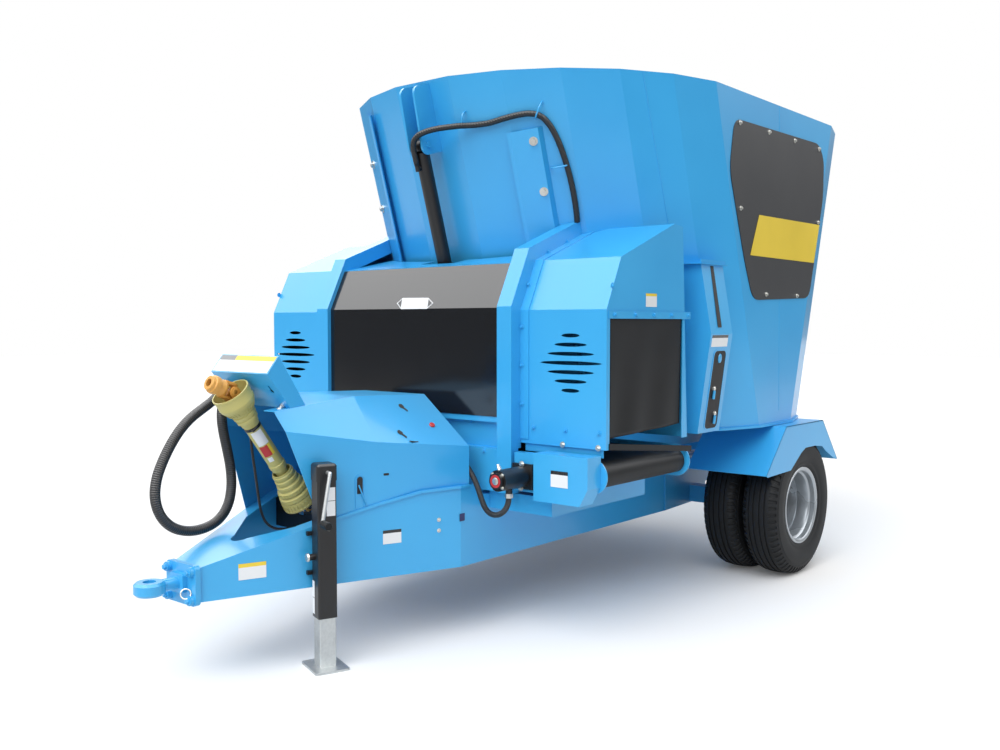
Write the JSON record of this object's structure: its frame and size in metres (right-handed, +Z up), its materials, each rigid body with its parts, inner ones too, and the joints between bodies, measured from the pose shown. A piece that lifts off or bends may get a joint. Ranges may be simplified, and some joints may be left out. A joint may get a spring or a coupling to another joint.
{
  "type": "trailed vertical feed mixer wagon",
  "caption": "Trailed feed mixer wagon with a faceted tub, vertical auger, front cross conveyor under a hood, sliding gate, drawbar with jack, twin wheels and a stowed drive shaft.",
  "frame": {"origin": "on the ground under the middle of the wagon's length and width", "axes": "+X to the wagon's left, +Y to its rear, +Z up"},
  "size_m": [2.464, 4.975, 2.67],
  "materials": {
    "blue_paint": "gloss blue paint",
    "black_panel": "gloss black paint",
    "dark_plate": "satin dark grey paint",
    "black_metal": "satin black paint",
    "wheel_silver": "silver paint",
    "zinc_steel": "galvanised steel",
    "bare_steel": "worn steel",
    "cast_grey": "grey cast iron",
    "tyre_rubber": "black tyre",
    "belt_rubber": "black rubber",
    "hose_rubber": "black wrapped hose",
    "guard_plastic": "yellow guard plastic",
    "yoke_paint": "orange yoke paint"
  },
  "bodies": {
    "wagon": {"tub_shell": "blue_paint", "tub_floor": "blue_paint", "load_cells": "zinc_steel", "auger_gearbox": "cast_grey", "gate_barrel": "black_metal", "gate_ears": "blue_paint", "gate_guides": "blue_paint", "hood_left": "blue_paint", "hood_right": "blue_paint", "flap_left": "belt_rubber", "flap_right": "belt_rubber", "arch_left": "blue_paint", "arch_right": "blue_paint", "gate_hose": "hose_rubber", "centre_panel": "black_panel", "centre_roof": "blue_paint", "front_beam": "blue_paint", "conveyor_frame": "blue_paint", "conveyor_belt": "belt_rubber", "conveyor_rollers": "bare_steel", "chain_cover": "blue_paint", "conveyor_motor": "black_metal", "drawbar_frame": "blue_paint", "chassis_rails": "blue_paint", "headstock": "blue_paint", "tow_eye": "blue_paint", "jack_tube": "black_metal", "jack_crank": "zinc_steel", "driveline_cover": "blue_paint", "control_console": "blue_paint", "driveline_bearing": "black_metal", "driveline_shaft": "bare_steel", "axle_beam": "blue_paint", "fenders": "blue_paint", "knife_boxes": "blue_paint", "counter_knives": "bare_steel", "side_plates": "dark_plate", "hose_loop": "hose_rubber", "control_cable": "hose_rubber", "motor_hose": "hose_rubber"},
    "wheel_left": {"tyre_left_outer": "tyre_rubber", "tyre_left_inner": "tyre_rubber", "rims_left": "wheel_silver", "hub_left": "black_metal"},
    "wheel_right": {"tyre_right_outer": "tyre_rubber", "tyre_right_inner": "tyre_rubber", "rims_right": "wheel_silver", "hub_right": "black_metal"},
    "mixing_auger": {"auger": "bare_steel", "auger_knives": "bare_steel"},
    "discharge_gate": {"gate_panel": "blue_paint", "gate_rod": "zinc_steel"},
    "jack_foot": {"jack_leg": "zinc_steel"},
    "shaft_inner_half": {"shaft_lower_guard": "guard_plastic", "shaft_lower_yoke": "yoke_paint"},
    "shaft_outer_half": {"shaft_guard": "guard_plastic", "shaft_yoke": "yoke_paint"}
  },
  "joints": [
    {"name": "wheel_left_spin", "type": "hinge", "parent": "wagon", "child": "wheel_left", "pos_m": [1, 1.0165, 0.4025], "axis": [1, 0, 0], "continuous": true},
    {"name": "wheel_right_spin", "type": "hinge", "parent": "wagon", "child": "wheel_right", "pos_m": [-1, 1.0165, 0.4025], "axis": [1, 0, 0], "continuous": true},
    {"name": "auger_turn", "type": "hinge", "parent": "wagon", "child": "mixing_auger", "pos_m": [0, 0.80178, 0.91], "axis": [0, 0, 1], "continuous": true},
    {"name": "gate_slide", "type": "slide", "parent": "wagon", "child": "discharge_gate", "axis": [0, -0.2892, 0.9573], "range_m": [0, 0.48]},
    {"name": "jack_slide", "type": "slide", "parent": "wagon", "child": "jack_foot", "axis": [0, 0, 1], "range_m": [0, 0.2]},
    {"name": "shaft_swing", "type": "hinge", "parent": "wagon", "child": "shaft_inner_half", "pos_m": [0, -1.6485, 0.63], "axis": [1, 0, 0], "range_deg": [0, 54]},
    {"name": "shaft_telescope", "type": "slide", "parent": "shaft_inner_half", "child": "shaft_outer_half", "axis": [0, -0.585, 0.8111], "range_m": [0, 0.2]}
  ]
}
